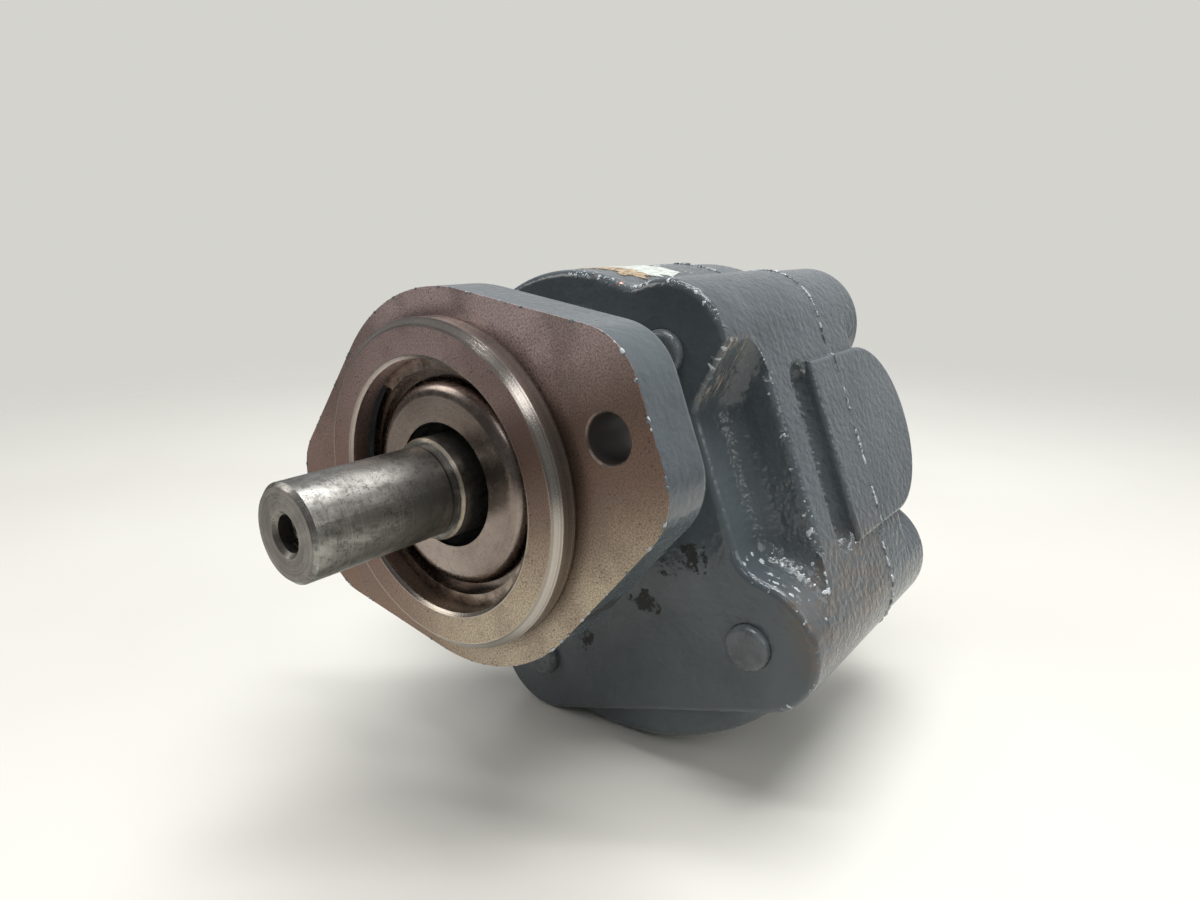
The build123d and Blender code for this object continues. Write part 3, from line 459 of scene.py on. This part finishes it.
def seal_case_material():
    """Pressed steel with a bronze sheen, darker towards the back, in its groove and at its rim."""
    mat, tree, shader = new_material("seal_case_steel")
    b = Build(tree)
    cloud = b.ramp(b.noise(0.035, 3, 0.55, seed=1), 0.36, 0.66)
    tone = b.mix(cloud, rgb(0.18, 0.140, 0.120), rgb(0.29, 0.242, 0.215))
    tone = b.mix(b.ramp(b.spin(1.6, 0.0, 3.0, seed=9), 0.40, 0.66, 0.0, 0.35), tone, rgb(0.36, 0.31, 0.28))
    film = b.ramp(b.noise(0.9, 4, 0.7, seed=6), 0.52, 0.68)
    tone = b.mix(b.mul(film, 0.35), tone, rgb(0.11, 0.085, 0.07))
    # darker towards the back of the case
    darker_behind = b.ramp(b.y, 0.2, 2.2)
    tone = b.mix(b.mul(darker_behind, 0.55), tone, rgb(0.06, 0.048, 0.04))
    b.link(tone, shader.inputs["Base Color"])
    shader.inputs["Metallic"].default_value = 1.0
    b.link(b.ramp(b.noise(0.4, 3, seed=3), 0.3, 0.7, 0.22, 0.31), shader.inputs["Roughness"])
    b.link(b.bump(b.add(b.spin(5.0, 0.0), b.noise(1.8, 3)), 0.02, 0.5), shader.inputs["Normal"])
    return mat


finish = {
    "casting_paint": casting_material(),
    "painted_fastener": painted_fastener(),
    "shaft_steel": shaft_material(),
    "bearing_steel": steel("bearing_steel", (0.50, 0.50, 0.49), (0.66, 0.66, 0.65), (0.12, 0.22)),
    "cage_steel": steel("cage_steel", (0.34, 0.32, 0.28), (0.50, 0.47, 0.42), (0.3, 0.45)),
    "spring_steel": steel("spring_steel", (0.13, 0.10, 0.085), (0.30, 0.25, 0.21), (0.22, 0.38)),
    "seal_case_steel": seal_case_material(),
    "seal_rubber": steel("seal_rubber", (0.012, 0.012, 0.012), (0.03, 0.03, 0.03), (0.4, 0.6), metallic=0.0,
                         turned=False),
    "plate_bronze": steel("plate_bronze", (0.42, 0.28, 0.13), (0.60, 0.43, 0.22), (0.2, 0.35)),
    "cartridge_steel": steel("cartridge_steel", (0.38, 0.38, 0.37), (0.55, 0.55, 0.54), (0.18, 0.32)),
}
for part in frame["record"]["subparts"]:
    obj = nodes[part["node"]]
    obj.data.materials.clear()
    obj.data.materials.append(finish[part["material_slot"]])


# ---------------------------------------------------------------- small pieces of paint, thread and wear
def piece(name, mesh_data, material, body):
    """Put a finished bmesh in the scene, riding on one of the CAD's bodies."""
    mesh = bpy.data.meshes.new(name)
    mesh_data.to_mesh(mesh)
    mesh_data.free()
    obj = bpy.data.objects.new(name, mesh)
    bpy.context.scene.collection.objects.link(obj)
    mesh.materials.append(material)
    for polygon in mesh.polygons:
        polygon.use_smooth = True
    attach(obj, body)
    return obj


def sharp_edges(node, wanted, least_turn):
    """Ends and outward direction of a CAD node's edges that turn by least_turn degrees or more and
    whose middle passes a test."""
    bm = bmesh.new()
    bm.from_mesh(nodes[node].data)
    bmesh.ops.remove_doubles(bm, verts=bm.verts, dist=1e-6)
    found = []
    for edge in bm.edges:
        if len(edge.link_faces) == 2 and edge.calc_face_angle(0) > math.radians(least_turn):
            if wanted(unroll((edge.verts[0].co + edge.verts[1].co) / 2)):
                out = (edge.link_faces[0].normal + edge.link_faces[1].normal).normalized()
                found.append((edge.verts[0].co.copy(), edge.verts[1].co.copy(), out))
    bm.free()
    return found


def blob(bm, place, along, out, length, width, height, rng):
    """One drop of set paint."""
    side = along.cross(out).normalized()
    axes = Matrix((along * length, side * width, out * height)).transposed().to_4x4()
    made = bmesh.ops.create_icosphere(bm, subdivisions=2, radius=1.0)["verts"]
    jitter = rng.uniform(0, 50)
    for v in made:
        v.co *= 1 + 0.28 * noise.noise(v.co * 1.6 + Vector((jitter, 0, 0)))
    bmesh.ops.transform(bm, verts=made, matrix=Matrix.Translation(place) @ axes)


def beads(edges, step_mm, size_mm, sink, seed):
    """Drops of paint strung along sharp edges, at uneven distances."""
    rng = random.Random(seed)
    bm = bmesh.new()
    for a, b, out in edges:
        run = (b - a).length
        count = run / (step_mm * MM)
        count = int(count) + (rng.random() < count - int(count))
        for _ in range(count):
            along = (b - a).normalized()
            place = a + (b - a) * rng.random()
            size = size_mm * MM * rng.uniform(0.45, 1.0)
            length = size * rng.uniform(1.0, 2.6)
            blob(bm, place - out * size * sink, along, out, length, size, size * 0.8, rng)
    return bm


def scattered(node, wanted, count, size_mm, sink, seed):
    """Drops of paint on the faces that pass a test, more on larger faces."""
    rng = random.Random(seed)
    bm = bmesh.new()
    source = bmesh.new()
    source.from_mesh(nodes[node].data)
    faces = [f for f in source.faces if wanted(unroll(f.calc_center_median()), unroll(f.normal) * MM)]
    areas = [f.calc_area() for f in faces]
    for face in rng.choices(faces, areas, k=count):
        corners = rng.sample(list(face.verts), 3)
        u, v = sorted((rng.random(), rng.random()))
        place = corners[0].co * u + corners[1].co * (v - u) + corners[2].co * (1 - v)
        along = face.normal.orthogonal().normalized()
        along.rotate(Quaternion(face.normal, rng.uniform(0, math.pi)))
        size = size_mm * MM * rng.uniform(0.4, 1.0)
        length = size * rng.uniform(1.0, 2.0)
        blob(bm, place - face.normal * size * sink, along, face.normal, length, size, size * 0.6, rng)
    source.free()
    return bm


# Tests of a place p on the housing and, for faces, its outward direction n.
def joint(p):
    """The joint of housing and cover, away from the screw bosses."""
    clear = all(math.hypot(p.x - x, p.z - z) > 12 for x, z in COVER_BOLTS)
    return abs(p.y - JOINT_Y) < 0.02 and math.hypot(p.x, p.z) > 36 and clear


def strip(p):
    """The edges of the side pad and its groove."""
    return p.x > 56 and 60 < p.y < 102 and p.z < 12


def rim(p):
    """The flange's two outer edges, away from the bolt holes."""
    on_an_edge = -0.05 < p.y <= 0.05 or 14 <= p.y < FLANGE_T + 1
    return on_an_edge and math.hypot(p.x, p.z) > 44 and math.hypot(abs(p.x) - BOLT_X, p.z) > 7


def ridge_edge(p, n):
    """The front edge of the ridge behind the undercut."""
    return p.x > 55.5 and 62.5 < p.y < 68 and -50 < p.z < 14 and n.y < -0.25 and n.x > 0.25


def body_edge(p, n):
    """The rounded edge all round the body's front face."""
    return BODY_FRONT_Y - 0.1 < p.y < 52 and -0.92 < n.y < -0.15


def crown_edge(p, n):
    return p.x > 14 and p.z > 2 and body_edge(p, n)


def boss_edge(p, n):
    return p.x > 38 and p.z < -36 and body_edge(p, n)


def pool(p, n):
    """The lower end of the undercut, where the enamel has run together."""
    return p.x > 42 and 48 < p.y < 62 and -62 < p.z < -34 and n.z > 0.1


bead_paint_and_glints = wet_paint_and_glints()
# test, least turn of the edge in degrees, step and size in millimetres, share sunk in, seed
EDGE_BEADS = ((joint, 20, 1.5, 0.8, 0.35, 3), (strip, 12, 3.2, 0.5, 0.5, 5), (rim, 12, 6.0, 0.45, 0.5, 7))
for where, least_turn, step, size, sink, seed in EDGE_BEADS:
    drops = beads(sharp_edges("front_housing", where, least_turn), step, size, sink, seed)
    piece(where.__name__ + "_paint_beads", drops, bead_paint_and_glints, "housing")
# test, count, size in millimetres, seed
FACE_BEADS = ((ridge_edge, 46, 0.75, 22), (crown_edge, 90, 0.8, 22), (boss_edge, 30, 0.6, 21),
              (pool, 26, 1.2, 16))
for where, count, size, seed in FACE_BEADS:
    drops = scattered("front_housing", where, count, size, 0.45, seed)
    piece(where.__name__ + "_paint_beads", drops, bead_paint_and_glints, "housing")


def drape(node, low, high, step, keep, lift):
    """A ragged sheet laid on a CAD node from above, on a grid in the pump's x and y."""
    above = 90.0
    hull = nodes[node]
    bm = bmesh.new()
    grid = {}
    rows = int((high[0] - low[0]) / step), int((high[1] - low[1]) / step)
    down = (pump(0, 0, -1) - pump(0, 0, 0)).normalized()
    for i in range(rows[0] + 1):
        for k in range(rows[1] + 1):
            x, y = low[0] + i * step, low[1] + k * step
            if not keep(x, y):
                continue
            hit, place, normal, _ = hull.ray_cast(pump(x, y, above), down)
            if hit:
                rise = lift * (0.5 + 0.8 * abs(noise.noise(Vector((x, y, 3.0)) * 0.3)))
                grid[i, k] = bm.verts.new(place + normal * rise * MM)
    for i, k in sorted(grid):
        corners = [grid.get(c) for c in ((i, k), (i + 1, k), (i + 1, k + 1), (i, k + 1))]
        if all(corners):
            bm.faces.new(corners)
    bmesh.ops.delete(bm, geom=[v for v in bm.verts if not v.link_faces], context="VERTS")
    return bm


def torn(x, y):
    """Inside the torn outline of the label's remains, on the crown."""
    ragged = 3.4 * noise.noise(Vector((x * 0.22, y * 0.22, 1.0)))
    ragged += 1.1 * noise.noise(Vector((x, y, 5.0)) * 0.8)
    return 8.5 + ragged < x < 31.0 + ragged and 56.5 + ragged < y < 84.0 + 1.6 * ragged


scrap = piece("label_residue", drape("front_housing", (4, 52), (36, 90), 0.35, torn, 0.25), label_residue(),
              "housing")
thick = scrap.modifiers.new("thickness", "SOLIDIFY")
thick.thickness = 0.2 * MM


def thread(radius, pitch, depth, length, centre, axis, steps):
    """A helical ridge inside a hole; centre is at the mouth and axis points out of it."""
    out = Vector(axis).normalized()
    u = out.orthogonal().normalized()
    v = out.cross(u)
    bm = bmesh.new()
    last = None
    total = int(length / pitch * steps)
    for i in range(total + 1):
        angle = 2 * math.pi * i / steps
        fade = min(1.0, i / steps, (total - i) / steps)
        radial = u * math.cos(angle) + v * math.sin(angle)
        base = centre - out * pitch * MM * (i / steps)
        profile = ((0.45, 0.02), (0.0, -depth * fade), (-0.45, 0.02))
        row = [bm.verts.new(base + out * pitch * MM * t + radial * (radius + d) * MM) for t, d in profile]
        if last:
            for k in range(3):
                bm.faces.new((last[k], last[(k + 1) % 3], row[(k + 1) % 3], row[k]))
        else:
            bm.faces.new(row)
        last = row
    bm.faces.new(last)
    bmesh.ops.recalc_face_normals(bm, faces=bm.faces)
    return bm


thread_iron = steel("thread_iron", (0.10, 0.085, 0.075), (0.24, 0.21, 0.19), (0.3, 0.45))
thread_steel = steel("thread_steel", (0.14, 0.13, 0.12), (0.34, 0.32, 0.30), (0.25, 0.4))
piece("inlet_port_thread",
      thread(INLET_R, 2.3, 0.9, 17.0, pump(INLET_MOUTH_X, *INLET_YZ), inlet_axis, 64),
      thread_iron, "housing")
piece("outlet_port_thread",
      thread(OUTLET_R, 2.0, 0.8, 13.0, pump(OUTLET_XZ[0], OUTLET_MOUTH_Y, OUTLET_XZ[1]), (0, 1, 0), 64),
      thread_iron, "housing")
piece("shaft_hole_thread",
      thread(CENTRE_HOLE_R, 1.25, 0.5, 15.0, pump(0, CENTRE_HOLE_MOUTH_Y, 0), (0, -1, 0), 40),
      thread_steel, "shaft")


# ---------------------------------------------------------------- room, light and camera
def stage_floor(half_side):
    """A pale floor under the pump, seen through more and more with distance, so that it has no edge."""
    z = cad_bounds[0][2]
    corners = [(x * half_side, y * half_side, z) for x, y in ((-1, -1), (1, -1), (1, 1), (-1, 1))]
    mesh = bpy.data.meshes.new("floor")
    mesh.from_pydata(corners, [], [(0, 1, 2, 3)])
    obj = bpy.data.objects.new("floor", mesh)
    bpy.context.scene.collection.objects.link(obj)
    mat, tree, shader = new_material("floor")
    b = Build(tree)
    tone = b.mix(b.ramp(b.noise(0.004, 3), 0.3, 0.7), rgb(0.74, 0.72, 0.66), rgb(0.78, 0.765, 0.71))
    b.link(tone, shader.inputs["Base Color"])
    shader.inputs["Roughness"].default_value = 0.35
    clear = tree.nodes.new("ShaderNodeBsdfTransparent")
    fade = tree.nodes.new("ShaderNodeMixShader")
    b.link(b.ramp(b.distance(b.x, b.y, (0, 60)), 240, 900), fade.inputs[0])
    b.link(shader.outputs[0], fade.inputs[1])
    b.link(clear.outputs[0], fade.inputs[2])
    out = [n for n in tree.nodes if n.type == "OUTPUT_MATERIAL"][0]
    b.link(fade.outputs[0], out.inputs[0])
    mesh.materials.append(mat)


def studio_world():
    """Soft light, brightest from behind and above, and a plain grey backdrop that only the camera sees."""
    world = bpy.data.worlds.new("studio")
    world.use_nodes = True
    sky = world.node_tree
    glow = sky.nodes["Background"]
    glow.inputs[0].default_value = (0.97, 0.98, 1.0, 1)
    aim = sky.nodes.new("ShaderNodeTexCoord")
    towards = sky.nodes.new("ShaderNodeVectorMath")
    towards.operation = "DOT_PRODUCT"
    towards.inputs[1].default_value = (-0.10, 0.86, 0.50)
    sky.links.new(aim.outputs["Generated"], towards.inputs[0])
    level = sky.nodes.new("ShaderNodeMapRange")
    level.interpolation_type = "SMOOTHSTEP"
    for socket, value in zip((1, 2, 3, 4), (0.30, 0.95, 0.13, 0.66)):
        level.inputs[socket].default_value = value
    sky.links.new(towards.outputs["Value"], level.inputs[0])
    sky.links.new(level.outputs[0], glow.inputs[1])
    backdrop = sky.nodes.new("ShaderNodeBackground")
    backdrop.inputs[0].default_value = (0.66, 0.655, 0.62, 1)
    seen = sky.nodes.new("ShaderNodeLightPath")
    choose = sky.nodes.new("ShaderNodeMixShader")
    sky.links.new(seen.outputs["Is Camera Ray"], choose.inputs[0])
    sky.links.new(glow.outputs[0], choose.inputs[1])
    sky.links.new(backdrop.outputs[0], choose.inputs[2])
    sky.links.new(choose.outputs[0], sky.nodes["World Output"].inputs[0])
    return world


def area_light(name, place, target, width, depth, power, tone):
    """A rectangular light that the camera doesn't see; places in metres, power in watts."""
    data = bpy.data.lights.new(name, "AREA")
    data.shape = "RECTANGLE"
    data.size, data.size_y = width, depth
    data.energy = power
    data.color = tone
    obj = bpy.data.objects.new(name, data)
    obj.location = place
    obj.rotation_euler = (Vector(target) - Vector(place)).to_track_quat("-Z", "Y").to_euler()
    obj.visible_camera = False
    bpy.context.scene.collection.objects.link(obj)


# The camera's place in metres, its right, down and forward directions, and its lens in millimetres.
CAMERA_PLACE = (0.14412, -0.12277, 0.06105)
CAMERA_RIGHT = Vector((0.78453, 0.62005, 0.00596))
CAMERA_DOWN = Vector((0.17258, -0.20910, -0.96255))
CAMERA_AHEAD = Vector((-0.59558, 0.75618, -0.27105))
CAMERA_LENS, CAMERA_SENSOR = 23.576, 36.0

# name, place, target, width, depth, power, colour
LIGHTS = (
    ("ceiling", (0.1, 0.5, 1.9), (0, 0.05, 0), 1.4, 1.1, 27.0, (0.98, 1.0, 1.0)),
    ("left", (-0.9, -0.6, 0.6), (0, 0.05, 0), 0.5, 0.5, 3.0, (1.0, 0.97, 0.93)),
    ("right", (1.0, 0.2, 0.6), (0.03, 0.1, 0), 0.8, 0.6, 3.2, (1.0, 0.99, 0.97)),
    ("front", (0.5, -0.82, 0.95), (0, 0, 0), 0.35, 0.35, 1.3, (1.0, 1.0, 1.0)),
    ("tube", (0.15, -0.10, 1.0), (0.03, 0.05, 0), 0.9, 0.05, 5.0, (1.0, 1.0, 1.0)),
)

scene = bpy.context.scene
scene.view_settings.view_transform = "Standard"
stage_floor(3.0)
scene.world = studio_world()
for light in LIGHTS:
    area_light(*light)

camera_data = bpy.data.cameras.new("camera")
camera_data.sensor_width = CAMERA_SENSOR
camera_data.lens = CAMERA_LENS
camera_data.clip_start = 0.01
camera = bpy.data.objects.new("camera", camera_data)
turn = Matrix((CAMERA_RIGHT, -CAMERA_DOWN, -CAMERA_AHEAD)).transposed().to_4x4()
camera.matrix_world = Matrix.Translation(CAMERA_PLACE) @ turn
scene.collection.objects.link(camera)
scene.camera = camera
